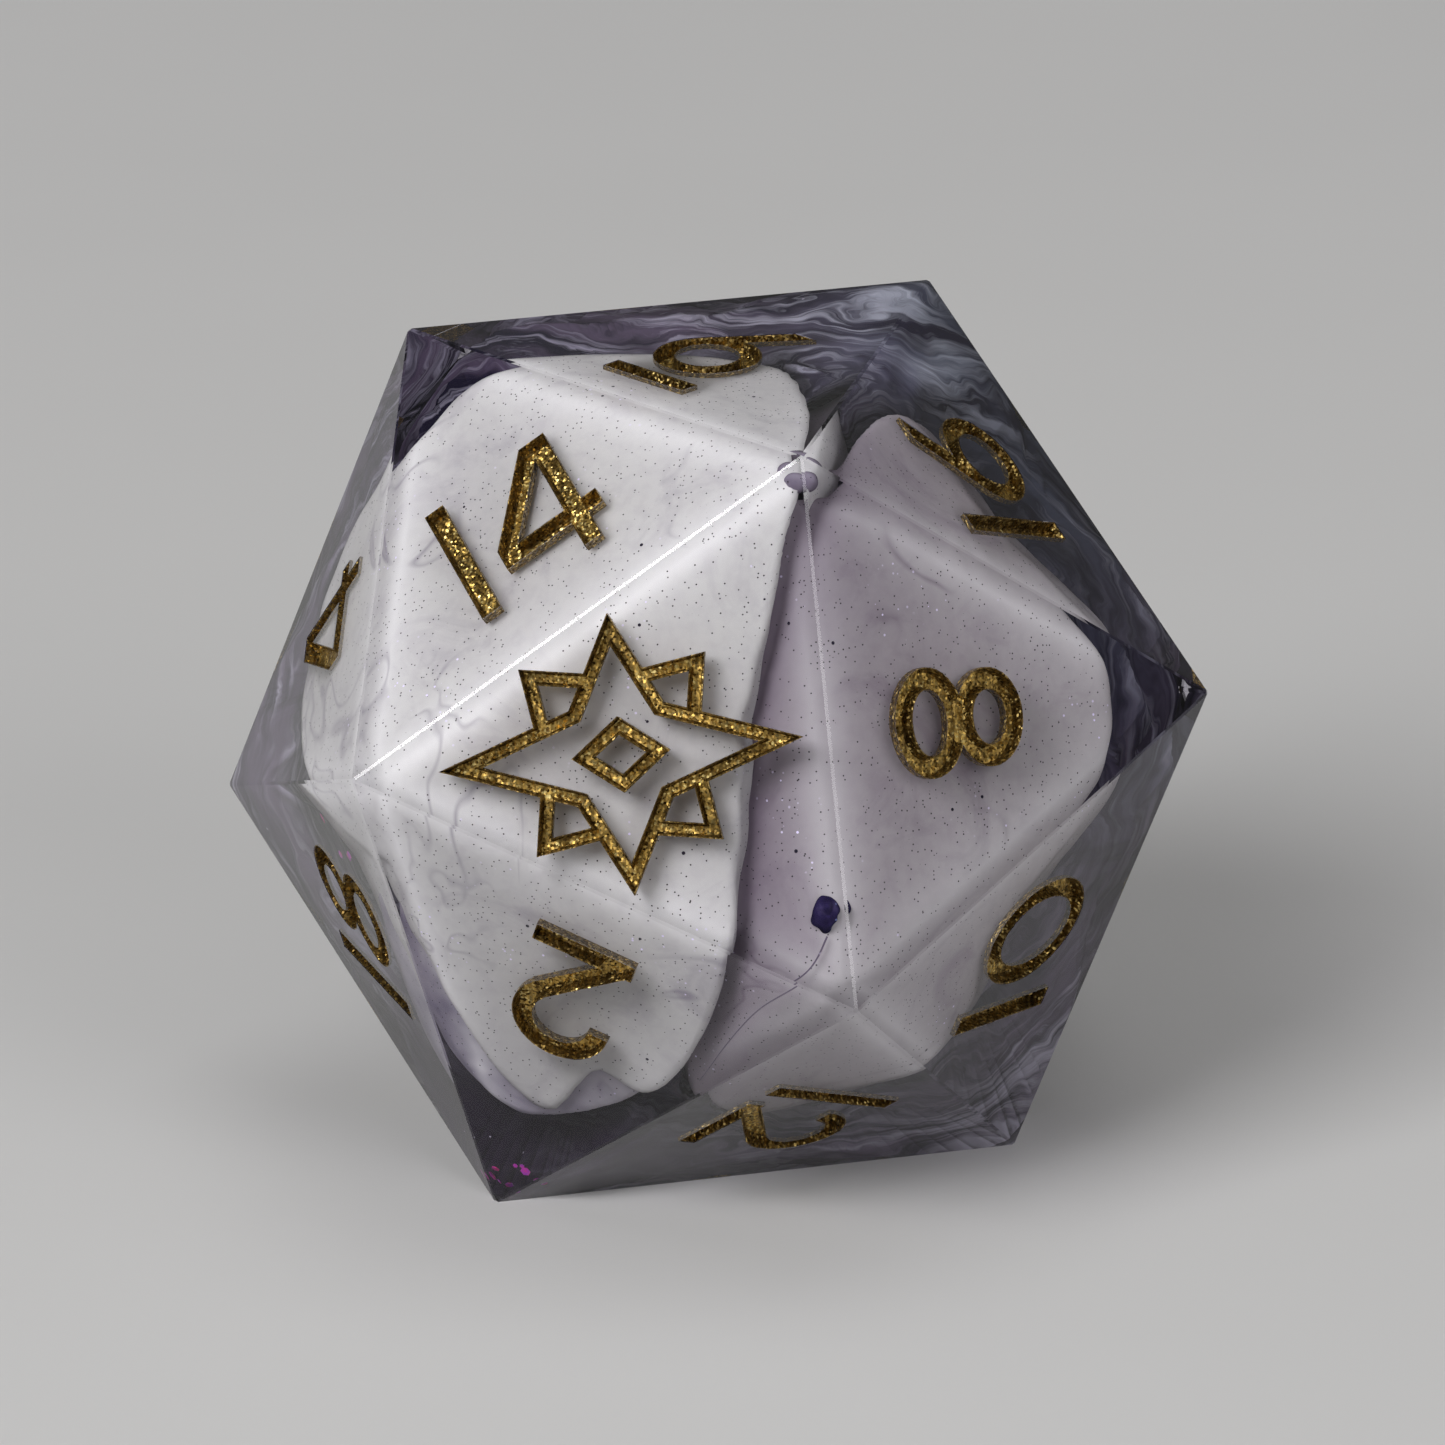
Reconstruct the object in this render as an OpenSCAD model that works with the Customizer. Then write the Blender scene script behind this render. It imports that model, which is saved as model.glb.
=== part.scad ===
// Sharp-edged resin die with twenty faces.
// A violet-tinted clear casting holds two white pigment blooms, dark smoke and drops of ink. Every face has
// an engraved recess with gold paint on its floor: a numeral on nineteen, and a star in place of the 20.
// Millimetres, +Z up. Face 15 rests on Z = 0 with its centre at the origin, so face 6 is on top.

/* [Casting] */
// Distance between opposite faces, which is also the height at rest
face_to_face = 22; // [12:0.5:40]
// Turn of the die about its vertical axis, in degrees
turn = 16; // [0:1:120]
// Least thickness of clear resin over the blooms and the smoke
skin = 0.9; // [0.7:0.05:2]

/* [Engraving] */
// Depth of the engraved recesses
engrave_depth = 0.45; // [0.2:0.05:0.6]
// Thickness of the gold paint on a recess's floor
paint_thickness = 0.2; // [0.05:0.05:0.4]
// Height of a digit
digit_height = 4.36; // [2:0.02:5]
// Width of a digit's stroke
digit_stroke = 0.58; // [0.3:0.02:0.8]
// Space between the two digits of a number
digit_space = 0.65; // [0.3:0.05:1.2]
// Space between a 6 or 9 and the bar under it
underline_space = 0.44; // [0.2:0.02:1]

/* [Emblem] */
// Height of the star from its lowest tip to its highest
star_height = 9.6; // [8:0.1:10]
// Width of the star across its side tips
star_width = 7.4; // [6:0.1:8]
// Width of the star's outlines
star_stroke = 0.38; // [0.3:0.02:0.5]
// Height of the star's centre above the centre of its face
star_rise = 1.3; // [0:0.1:2]

/* [Inclusions] */
// Radius of the large white bloom at the front left
bloom_left_radius = 8.7; // [6:0.1:10]
// Radius of the white bloom at the right
bloom_right_radius = 7.9; // [6:0.1:10]
// Gap of clear resin in the crease between the two blooms
crease_gap = 0.15; // [0.05:0.05:0.6]
// Radius of the grey knob under the left bloom
knob_radius = 2.8; // [2:0.1:2.8]
// Radius of the dark smoke behind and around the blooms
smoke_radius = 8.6; // [6:0.1:9.5]
// Radius of the ink drop before the right bloom
drop_radius = 0.5; // [0.2:0.05:0.6]
// Radius of the ink bead near the left bloom's foot
bead_radius = 0.22; // [0.1:0.02:0.4]
// Radius of the grey-violet bead under the front upper corner
corner_bead_radius = 0.36; // [0.1:0.02:0.5]

/* [Node] */
// Node to draw, or all of them

/* [Hidden] */
$fn = 72;
golden = (1 + sqrt(5)) / 2;
face_radius = face_to_face / 2;
corner_circle = face_to_face / pow(golden, 2);
centre = [0, 0, face_radius];
cut_through = 1;
arc_step = 10;

// Centres of the inclusions, measured from the centre of the die
bloom_left_at = [-4.8, -3.4, 1.8];
bloom_right_at = [3.3, -3.7, 0.9];
knob_at = [-5.8, -4.2, -5.8];
smoke_at = [0.6, 2.4, -0.4];
drop_at = [3.23, -11.2, -0.64];
bead_at = [-4.41, -8.45, -3.24];
corner_bead_at = [2.2, -7.1, 9.9];

// Digit shapes, as shares of a digit's height
stroke = digit_stroke / digit_height;
digit_widths = [0.746, stroke, 0.654, 0.65, 0.71, 0.66, 0.668, 0.66, 0.672, 0.668];
bowl = 0.334;
tail_angle = 51;
waist = 0.02;

// ---- The solid's corners and faces ----

function three_around(radius, height, first) = [for (i = [0:2])
    [radius * cos(first + turn + 120 * i), radius * sin(first + turn + 120 * i), height]];
lower_corners = concat(three_around(corner_circle, 0, 90),
    three_around(golden * corner_circle, corner_circle, 270));
corners = concat(lower_corners, [for (i = [5:-1:0]) 2 * centre - lower_corners[i]]);

// Ten numbers, and each one's corners: the corner above its mark, then the others anticlockwise.
// The number opposite adds up with it to 21, and corner i is opposite to corner 11 - i.
front_numbers = [20, 14, 8, 2, 6, 16, 4, 18, 12, 10];
front_corners = [[7, 3, 11], [9, 7, 11], [6, 11, 3], [1, 3, 7], [10, 9, 11],
    [11, 6, 10], [5, 7, 9], [5, 1, 7], [2, 3, 1], [3, 2, 6]];

function front_row(number) = search(number, front_numbers)[0];
function turned_over(trio) = [11 - trio[0], 11 - trio[2], 11 - trio[1]];
function face_corners(number) = is_undef(front_row(number))
    ? turned_over(front_corners[front_row(21 - number)]) : front_corners[front_row(number)];
function unit(v) = v / norm(v);

module casting(inset) {
    polyhedron([for (c = corners) centre + (c - centre) * (face_radius - inset) / face_radius],
        [for (n = [1:20]) let (t = face_corners(n)) [t[0], t[2], t[1]]]);
}

// Puts a flat drawing on a face, with the face's centre as its origin and the marked corner above it
module on_face(number) {
    trio = face_corners(number);
    middle = (corners[trio[0]] + corners[trio[1]] + corners[trio[2]]) / len(trio);
    out = unit(middle - centre);
    up = unit(corners[trio[0]] - middle);
    along = cross(up, out);
    multmatrix([for (i = [0:2]) [along[i], up[i], out[i], middle[i]]]) children();
}

// ---- Digits, drawn one unit high about their own centre ----

function oval(rx, ry, from, to) = [for (a = [from:arc_step:to]) [rx * cos(a), ry * sin(a)]];

module ring(at, rx, ry) {
    translate(at) difference() {
        polygon(oval(rx, ry, 0, 360 - arc_step));
        polygon(oval(rx - stroke, ry - stroke, 0, 360 - arc_step));
    }
}

module arc(at, rx, ry, from, to) {
    translate(at) polygon(concat(oval(rx, ry, from, to),
        [for (a = [to:-arc_step:from]) [(rx - stroke) * cos(a), (ry - stroke) * sin(a)]]));
}

module bar(from, to, width = stroke) {
    side = unit([from[1] - to[1], to[0] - from[0]]) * width / 2;
    polygon([from - side, to - side, to + side, from + side]);
}

module within(width) {
    intersection() {
        children();
        square([width, 1], center = true);
    }
}

module flat_bar(width, y) {
    translate([-width / 2, y - stroke / 2]) square([width, stroke]);
}

module digit_zero() {
    ring([0, 0], digit_widths[0] / 2, 0.5);
}

module digit_one() {
    square([stroke, 1], center = true);
}

module digit_two() {
    width = digit_widths[2];
    top = 0.5 - 0.31;
    within(width) {
        arc([0, top], 0.315, 0.31, -40, 180);
        bar([0.26 * cos(40), top - 0.24 * sin(40)], [-width / 2, -0.5]);
        flat_bar(width, -0.5 + stroke / 2);
    }
}

module digit_three() {
    upper = 0.27;
    lower = 0.5 - upper / 2 + stroke / 4;
    arc([0, 0.5 - upper], 0.29, upper, -90, 160);
    arc([0, lower - 0.5], 0.325, lower, -160, 90);
    translate([-stroke, lower * 2 - 0.5 - stroke]) square([stroke, stroke]);
}

module digit_four() {
    width = digit_widths[4];
    within(width) {
        translate([0.124, -0.5]) square([0.125, 1]);
        flat_bar(width, -0.215);
        bar([0.19, 0.56], [-width / 2 + 0.01, -0.21]);
    }
}

module digit_five() {
    low = 0.325;
    translate([-0.24, 0.5 - stroke]) square([0.54, stroke]);
    bar([-0.175, 0.5], [-0.205, 0.02]);
    arc([0.005, low - 0.5], 0.325, low, -160, 130);
}

module digit_six() {
    low = bowl - 0.5;
    middle = bowl - stroke / 2;
    start = [middle * cos(tail_angle + 90), low + middle * sin(tail_angle + 90)];
    within(2 * bowl) {
        ring([0, low], bowl, bowl);
        bar(start, start + [cos(tail_angle), sin(tail_angle)]);
    }
}

module digit_seven() {
    width = digit_widths[7];
    within(width) {
        flat_bar(width, 0.5 - stroke / 2);
        bar([width / 2 - stroke / 2, 0.5], [-0.16, -0.52]);
    }
}

module digit_eight() {
    upper = 0.5 - 0.225 - waist;
    lower = 0.5 - 0.225 + waist;
    ring([0, 0.5 - upper], 0.3, upper);
    ring([0, lower - 0.5], 0.336, lower - stroke / 4);
}

module digit_nine() {
    rotate(180) digit_six();
}

module digit(value) {
    if (value == 0) digit_zero();
    if (value == 1) digit_one();
    if (value == 2) digit_two();
    if (value == 3) digit_three();
    if (value == 4) digit_four();
    if (value == 5) digit_five();
    if (value == 6) digit_six();
    if (value == 7) digit_seven();
    if (value == 8) digit_eight();
    if (value == 9) digit_nine();
}

module numeral(number) {
    tens = floor(number / 10);
    ones = number % 10;
    tens_width = digit_widths[tens] * digit_height;
    ones_width = digit_widths[ones] * digit_height;
    underlined = number == 6 || number == 9;
    if (tens > 0) {
        shift = (digit_space + ones_width) / 2;
        translate([-shift, 0]) scale(digit_height) digit(tens);
        translate([(digit_space + tens_width) / 2, 0]) scale(digit_height) digit(ones);
    } else {
        rise = underlined ? (underline_space + digit_stroke) / 2 : 0;
        translate([0, rise]) scale(digit_height) digit(ones);
        if (underlined)
            translate([0, rise - digit_height / 2 - underline_space - digit_stroke / 2])
                square([ones_width, digit_stroke], center = true);
    }
}

// ---- The star that stands for the 20 ----

// Four long tips with valleys between them, or the same turned by 45 degrees
function star_points(tips, valley, first) = [for (i = [0:7]) let (a = first + 45 * i)
    (i % 2 == 0 ? tips[(i / 2) % len(tips)] : valley) * [cos(a), sin(a)]];

// Each corner moves inwards so that every side moves by the same distance
function moved_in(points, by) = [for (i = [0:len(points) - 1]) let (
    before = points[(i + len(points) - 1) % len(points)],
    after = points[(i + 1) % len(points)],
    a = unit([before[1] - points[i][1], points[i][0] - before[0]]),
    b = unit([points[i][1] - after[1], after[0] - points[i][0]]))
    points[i] + (a + b) * by / (1 + a * b)];

module outline(points) {
    difference() {
        polygon(points);
        polygon(moved_in(points, star_stroke));
    }
}

module star() {
    tips = [star_width / 2, star_height / 2, star_width / 2, star_height / 2];
    main = star_points(tips, star_width * 0.24, 0);
    minor = star_points([star_width * 0.47], star_width * 0.28, 45);
    lozenge = [for (i = [0:3]) tips[i] * 0.27 * [cos(90 * i), sin(90 * i)]];
    translate([0, star_rise]) {
        outline(main);
        difference() {
            outline(minor);
            polygon(moved_in(main, star_stroke / 2));
        }
        outline(lozenge);
    }
}

module mark(number) {
    if (number == 20) star();
    else numeral(number);
}

module recess(number) {
    on_face(number) translate([0, 0, -engrave_depth])
        linear_extrude(engrave_depth + cut_through) mark(number);
}

module paint(number) {
    color([0.62, 0.45, 0.2]) on_face(number) translate([0, 0, -engrave_depth])
        linear_extrude(paint_thickness) mark(number);
}

// ---- What is suspended in the casting ----

module ball(at, radius) {
    translate(centre + at) sphere(radius);
}

module drops() {
    ball(drop_at, drop_radius);
    ball(bead_at, bead_radius);
    ball(corner_bead_at, corner_bead_radius);
}

module resin_body() {
    color([0.2, 0.15, 0.33, 0.45]) difference() {
        casting(0);
        for (n = [1:20]) recess(n);
        bloom_left();
        bloom_right();
        bloom_knob();
        smoke_core();
        drops();
    }
}

module bloom_left() {
    color([0.85, 0.83, 0.86]) difference() {
        intersection() {
            casting(skin);
            ball(bloom_left_at, bloom_left_radius);
        }
        drops();
    }
}

module bloom_right() {
    color([0.8, 0.77, 0.85]) difference() {
        intersection() {
            casting(skin);
            ball(bloom_right_at, bloom_right_radius);
        }
        ball(bloom_left_at, bloom_left_radius + crease_gap);
        drops();
    }
}

module bloom_knob() {
    color([0.6, 0.58, 0.66]) difference() {
        intersection() {
            casting(skin);
            ball(knob_at, knob_radius);
        }
        ball(bloom_left_at, bloom_left_radius + crease_gap);
        drops();
    }
}

module smoke_core() {
    color([0.12, 0.09, 0.2]) difference() {
        intersection() {
            casting(skin);
            ball(smoke_at, smoke_radius);
        }
        ball(bloom_left_at, bloom_left_radius + crease_gap);
        ball(bloom_right_at, bloom_right_radius + crease_gap);
        ball(knob_at, knob_radius + crease_gap);
        drops();
    }
}

module ink_drop() {
    color([0.14, 0.1, 0.22]) ball(drop_at, drop_radius);
}

module ink_bead() {
    color([0.14, 0.1, 0.22]) ball(bead_at, bead_radius);
}

module corner_bead() {
    color([0.45, 0.42, 0.55]) ball(corner_bead_at, corner_bead_radius);
}

module gold_emblem() {
    paint(20);
}

module gold_01() {
    paint(1);
}

module gold_02() {
    paint(2);
}

module gold_03() {
    paint(3);
}

module gold_04() {
    paint(4);
}

module gold_05() {
    paint(5);
}

module gold_06() {
    paint(6);
}

module gold_07() {
    paint(7);
}

module gold_08() {
    paint(8);
}

module gold_09() {
    paint(9);
}

module gold_10() {
    paint(10);
}

module gold_11() {
    paint(11);
}

module gold_12() {
    paint(12);
}

module gold_13() {
    paint(13);
}

module gold_14() {
    paint(14);
}

module gold_15() {
    paint(15);
}

module gold_16() {
    paint(16);
}

module gold_17() {
    paint(17);
}

module gold_18() {
    paint(18);
}

module gold_19() {
    paint(19);
}

resin_body();
bloom_left();
bloom_right();
bloom_knob();
smoke_core();
ink_drop();
ink_bead();
corner_bead();
gold_emblem();
gold_01();
gold_02();
gold_03();
gold_04();
gold_05();
gold_06();
gold_07();
gold_08();
gold_09();
gold_10();
gold_11();
gold_12();
gold_13();
gold_14();
gold_15();
gold_16();
gold_17();
gold_18();
gold_19();
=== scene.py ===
"""Looks of the sharp-edged resin die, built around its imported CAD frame. Metres, +Z up."""

import math

import bpy
import numpy as np
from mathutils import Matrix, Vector, noise
from mathutils.bvhtree import BVHTree
from mathutils.geometry import delaunay_2d_cdt


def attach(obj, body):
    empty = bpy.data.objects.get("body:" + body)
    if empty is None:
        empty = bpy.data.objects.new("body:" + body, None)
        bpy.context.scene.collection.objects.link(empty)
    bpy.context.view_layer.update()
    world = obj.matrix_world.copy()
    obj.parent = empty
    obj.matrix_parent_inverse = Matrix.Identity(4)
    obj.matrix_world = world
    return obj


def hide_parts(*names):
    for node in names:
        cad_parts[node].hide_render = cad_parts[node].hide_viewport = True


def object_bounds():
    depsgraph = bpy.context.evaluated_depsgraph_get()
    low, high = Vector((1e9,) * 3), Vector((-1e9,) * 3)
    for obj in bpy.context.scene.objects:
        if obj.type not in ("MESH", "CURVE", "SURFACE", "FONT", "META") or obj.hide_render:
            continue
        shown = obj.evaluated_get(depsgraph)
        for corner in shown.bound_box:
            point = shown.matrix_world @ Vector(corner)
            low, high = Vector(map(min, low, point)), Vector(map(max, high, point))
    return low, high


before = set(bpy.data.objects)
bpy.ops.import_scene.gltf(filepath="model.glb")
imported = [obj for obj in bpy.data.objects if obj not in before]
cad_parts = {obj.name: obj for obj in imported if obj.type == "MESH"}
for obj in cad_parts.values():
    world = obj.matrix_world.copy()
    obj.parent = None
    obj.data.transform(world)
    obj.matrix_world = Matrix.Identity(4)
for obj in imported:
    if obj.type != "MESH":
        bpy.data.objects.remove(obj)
CAD_BOX = [list(map(float, corner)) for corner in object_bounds()]

MM = 0.001
GOLDEN = (1 + math.sqrt(5)) / 2
FACE_TO_FACE = CAD_BOX[1][2] - CAD_BOX[0][2]
FACE_RADIUS = FACE_TO_FACE / 2
CORNER_CIRCLE = FACE_TO_FACE / GOLDEN**2
CENTRE = np.array([0, 0, FACE_RADIUS])
TURN = math.radians(16)
ENGRAVE_DEPTH = 0.45 * MM
EDGE_CHAMFER = 0.05 * MM
RIM_CORNERS = 3
SAME_POINT = 0.001 * MM
SAME_HEIGHT = 0.01 * MM
STRAIGHT = 1e-4

# ---- The solid's corners and faces, in the CAD's own order ----


def three_around(radius, height, first):
    turns = [math.radians(first + 120 * i) + TURN for i in range(3)]
    return [np.array([radius * math.cos(a), radius * math.sin(a), height]) for a in turns]


LOWER = three_around(CORNER_CIRCLE, 0, 90) + three_around(GOLDEN * CORNER_CIRCLE, CORNER_CIRCLE, 270)
CORNERS = LOWER + [2 * CENTRE - c for c in reversed(LOWER)]
# Corner above the mark, then the others anticlockwise; opposite faces add up to 21
FRONT = {
    20: (7, 3, 11), 14: (9, 7, 11), 8: (6, 11, 3), 2: (1, 3, 7), 6: (10, 9, 11),
    16: (11, 6, 10), 4: (5, 7, 9), 18: (5, 1, 7), 12: (2, 3, 1), 10: (3, 2, 6),
}  # fmt: skip


def unit(v):
    return v / np.linalg.norm(v)


class Face:
    def __init__(self, number):
        a, b, c = FRONT.get(number) or [11 - FRONT[21 - number][i] for i in (0, 2, 1)]
        self.number, self.trio = number, (a, b, c)
        self.middle = (CORNERS[a] + CORNERS[b] + CORNERS[c]) / 3
        self.out = unit(self.middle - CENTRE)
        self.up = unit(CORNERS[a] - self.middle)
        self.axes = np.array([np.cross(self.up, self.out), self.up, self.out])
        self.node = "gold_emblem" if number == 20 else f"gold_{number:02d}"

    def to_face(self, points):
        return (points - self.middle) @ self.axes.T

    def to_row(self, flat, height):
        flat = np.asarray(flat)
        return self.middle + flat @ self.axes[:2] + height * self.out


FACES = [Face(n) for n in range(1, 21)]
NORMALS = np.array([f.out for f in FACES])

# ---- Mesh helpers ----


def new_piece(name, points, faces, replaces=(), smooth=False, materials=()):
    mesh = bpy.data.meshes.new(name)
    mesh.from_pydata([tuple(map(float, p)) for p in points], [], [tuple(map(int, f)) for f in faces])
    mesh.validate()
    mesh.polygons.foreach_set("use_smooth", [smooth] * len(mesh.polygons))
    piece = bpy.data.objects.new(name, mesh)
    bpy.context.scene.collection.objects.link(piece)
    for m in materials:
        mesh.materials.append(m)
    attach(piece, "root")
    if replaces:
        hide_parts(*replaces)
    return piece


def outlines(face):
    """The recess's outlines in the face's plane, with the recess on each one's left."""
    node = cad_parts[face.node]
    mesh = node.data
    co = np.empty(len(mesh.vertices) * 3)
    mesh.vertices.foreach_get("co", co)
    world = np.array(node.matrix_world)
    flat = face.to_face(co.reshape(-1, 3) @ world[:3, :3].T + world[:3, 3])
    top = flat[:, 2].max()
    key = [tuple(np.round(p[:2] / SAME_POINT).astype(int)) for p in flat]
    place = {k: p[:2] for k, p in zip(key, flat)}
    sides = set()
    for poly in mesh.polygons:
        ids = list(poly.vertices)
        if all(flat[i, 2] > top - SAME_HEIGHT for i in ids):
            sides |= {(key[a], key[b]) for a, b in zip(ids, ids[1:] + ids[:1])}
    after = {a: b for a, b in sides if (b, a) not in sides}
    loops = []
    while after:
        start = min(after)
        loop, here = [start], after.pop(start)
        while here != start:
            loop.append(here)
            here = after.pop(here)
        loops.append(np.array([place[k] for k in loop]))
    return [without_straights(loop) for loop in loops]


def without_straights(loop):
    """The outline without the points at which it goes straight on."""
    keep = []
    for i, p in enumerate(loop):
        a, b = unit(p - loop[i - 1]), unit(loop[(i + 1) % len(loop)] - p)
        if abs(a[0] * b[1] - a[1] * b[0]) > STRAIGHT or a @ b < 0:
            keep.append(p)
    return np.array(keep)


def moved_in(loop, by):
    """Every side of the outline moves to its left by the same distance."""
    ahead = np.roll(loop, -1, axis=0) - loop
    ahead /= np.linalg.norm(ahead, axis=1, keepdims=True)
    left = np.stack([-ahead[:, 1], ahead[:, 0]], axis=1)
    before = np.roll(left, 1, axis=0)
    return loop + (left + before) * by / (1 + (left * before).sum(axis=1))[:, None]


def turned_index(loops):
    """Places of the outlines' points when each outline is run backwards, after the rim's corners."""
    start = RIM_CORNERS
    for loop in loops:
        yield np.arange(start, start + len(loop))[::-1]
        start += len(loop)


def holds(loop, points):
    """Whether the outline holds each point."""
    inside = np.zeros(len(points), bool)
    for (ax, ay), (bx, by) in zip(loop, np.roll(loop, -1, axis=0)):
        if ay != by:
            crosses = (ay > points[:, 1]) != (by > points[:, 1])
            inside ^= crosses & (ax + (points[:, 1] - ay) * (bx - ax) / (by - ay) > points[:, 0])
    return inside


def filled(loops):
    """Anticlockwise triangles, as indices into the joined outlines, where an odd number of them overlap."""
    flat = np.concatenate(loops) / MM
    sides, start = [], 0
    for loop in loops:
        n = len(loop)
        sides += [(start + i, start + (i + 1) % n) for i in range(n)]
        start += n
    merge_within, least_area = 1e-5, 1e-9
    found = delaunay_2d_cdt([Vector(p) for p in flat], sides, [], 0, merge_within)
    triangles = np.array([[found[3][i][0] for i in t] for t in found[2]])
    a, b, c = (flat[triangles[:, i]] for i in range(3))
    area = (b[:, 0] - a[:, 0]) * (c[:, 1] - a[:, 1]) - (b[:, 1] - a[:, 1]) * (c[:, 0] - a[:, 0])
    middles = (a + b + c) / 3
    inside = np.sum([holds(np.asarray(loop) / MM, middles) for loop in loops], axis=0) % 2 == 1
    turned = np.where(area[:, None] > 0, triangles, triangles[:, ::-1])
    return [tuple(map(int, t)) for t in turned[inside & (np.abs(area) > least_area)]]


def rows_between(loops, lower, upper):
    """Quads from the row of outlines that starts at index lower to the one at upper."""
    out = []
    for loop in loops:
        n = len(loop)
        for i in range(n):
            ahead = (i + 1) % n
            out.append((upper + i, upper + ahead, lower + ahead, lower + i))
        lower, upper = lower + n, upper + n
    return out


# ---- Materials ----


class Nodes:
    """A material's node tree. Noise scales are in features per metre, and lengths in metres."""

    def __init__(self, name):
        self.material = bpy.data.materials.new(name)
        self.material.use_nodes = True
        self.tree = self.material.node_tree
        self.shader = self.tree.nodes["Principled BSDF"]
        self.output = self.tree.nodes["Material Output"]
        self.place = self.tree.nodes.new("ShaderNodeTexCoord").outputs["Object"]

    def add(self, kind, **sockets):
        node = self.tree.nodes.new(kind)
        for name, value in sockets.items():
            self.put(node, name.replace("_", " "), value)
        return node

    def put(self, node, name, value):
        socket = node.inputs[name]
        if isinstance(value, bpy.types.NodeSocket):
            self.tree.links.new(value, socket)
        else:
            socket.default_value = value

    def noise(self, scale, detail=4, distortion=0.0, roughness=0.55, place=None):
        node = self.add("ShaderNodeTexNoise", Vector=place or self.place, Scale=scale, Detail=detail,
                        Roughness=roughness, Distortion=distortion)  # fmt: skip
        return node.outputs["Fac"]

    def ramp(self, fac, *stops):
        node = self.add("ShaderNodeValToRGB", Fac=fac)
        ramp = node.color_ramp
        while len(ramp.elements) < len(stops):
            ramp.elements.new(0.5)
        for element, (position, colour) in zip(ramp.elements, stops):
            element.position = position
            if not isinstance(colour, tuple):
                colour = (colour, colour, colour)
            element.color = (*colour, 1)
        return node.outputs["Color"]

    def mix(self, fac, a, b):
        node = self.tree.nodes.new("ShaderNodeMix")
        node.data_type = "RGBA"
        for socket, value in zip((node.inputs["Factor"], node.inputs[6], node.inputs[7]), (fac, a, b)):
            if isinstance(value, bpy.types.NodeSocket):
                self.tree.links.new(value, socket)
            else:
                socket.default_value = (*value, 1) if isinstance(value, tuple) else value
        return node.outputs[2]

    def between(self, kind, how, a, b=None):
        node = self.tree.nodes.new(kind)
        node.operation = how
        for socket, value in zip(node.inputs, (a, b)):
            if isinstance(value, bpy.types.NodeSocket):
                self.tree.links.new(value, socket)
            elif value is not None:
                socket.default_value = value
        return node

    def maths(self, how, a, b=None):
        return self.between("ShaderNodeMath", how, a, b).outputs[0]

    def vector(self, how, a, b=None):
        return self.between("ShaderNodeVectorMath", how, a, b).outputs[0]

    def distance(self, point):
        return self.between("ShaderNodeVectorMath", "DISTANCE", self.place, tuple(point)).outputs["Value"]

    def specks(self, cell, radius, share):
        """1 on round specks of that radius, in that share of cells, 0 elsewhere."""
        node = self.add("ShaderNodeTexVoronoi", Vector=self.place, Scale=1 / cell)
        near = self.maths("LESS_THAN", node.outputs["Distance"], radius / cell)
        parts = self.add("ShaderNodeSeparateColor", Color=node.outputs["Color"])
        return self.maths("MULTIPLY", near, self.maths("LESS_THAN", parts.outputs["Red"], share))

    def bump(self, height, depth, strength):
        node = self.add("ShaderNodeBump", Height=height, Distance=depth, Strength=strength)
        self.tree.links.new(node.outputs["Normal"], self.shader.inputs["Normal"])

    def attribute(self, name):
        node = self.tree.nodes.new("ShaderNodeAttribute")
        node.attribute_name = name
        return node.outputs["Fac"]

    def set(self, **sockets):
        for name, value in sockets.items():
            self.put(self.shader, name.replace("_", " "), value)
        return self.material


def resin_material():
    """Clear resin with a violet tint; lamps shine straight through it, so that they light the inside."""
    n = Nodes("violet_clear_resin")
    tint = n.ramp(n.noise(120, 3, 0.5), (0.3, (0.965, 0.958, 0.975)), (0.7, (0.99, 0.987, 0.995)))
    n.set(Base_Color=tint, Roughness=0.015, IOR=1.5, Transmission_Weight=1.0)
    clear = n.add("ShaderNodeBsdfTransparent", Color=(0.96, 0.955, 0.965, 1))
    lamps = n.tree.nodes.new("ShaderNodeLightPath").outputs["Is Shadow Ray"]
    both = n.tree.nodes.new("ShaderNodeMixShader")
    n.tree.links.new(lamps, both.inputs[0])
    n.tree.links.new(n.shader.outputs[0], both.inputs[1])
    n.tree.links.new(clear.outputs[0], both.inputs[2])
    n.tree.links.new(both.outputs[0], n.output.inputs["Surface"])
    soak = n.add("ShaderNodeVolumeAbsorption", Color=(0.5, 0.46, 0.58, 1), Density=60.0)
    n.tree.links.new(soak.outputs[0], n.output.inputs["Volume"])
    return n.material


# The first colour is the painted highlight that the pigment takes under the casting's edges
PAINTED_EDGE_HIGHLIGHT, FINE_SPECK, COARSE_SPECK, SHIMMER = (
    (0.86, 0.855, 0.86), (0.04, 0.035, 0.04), (0.02, 0.016, 0.03), (0.82, 0.76, 1.0),
)  # fmt: skip


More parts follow.
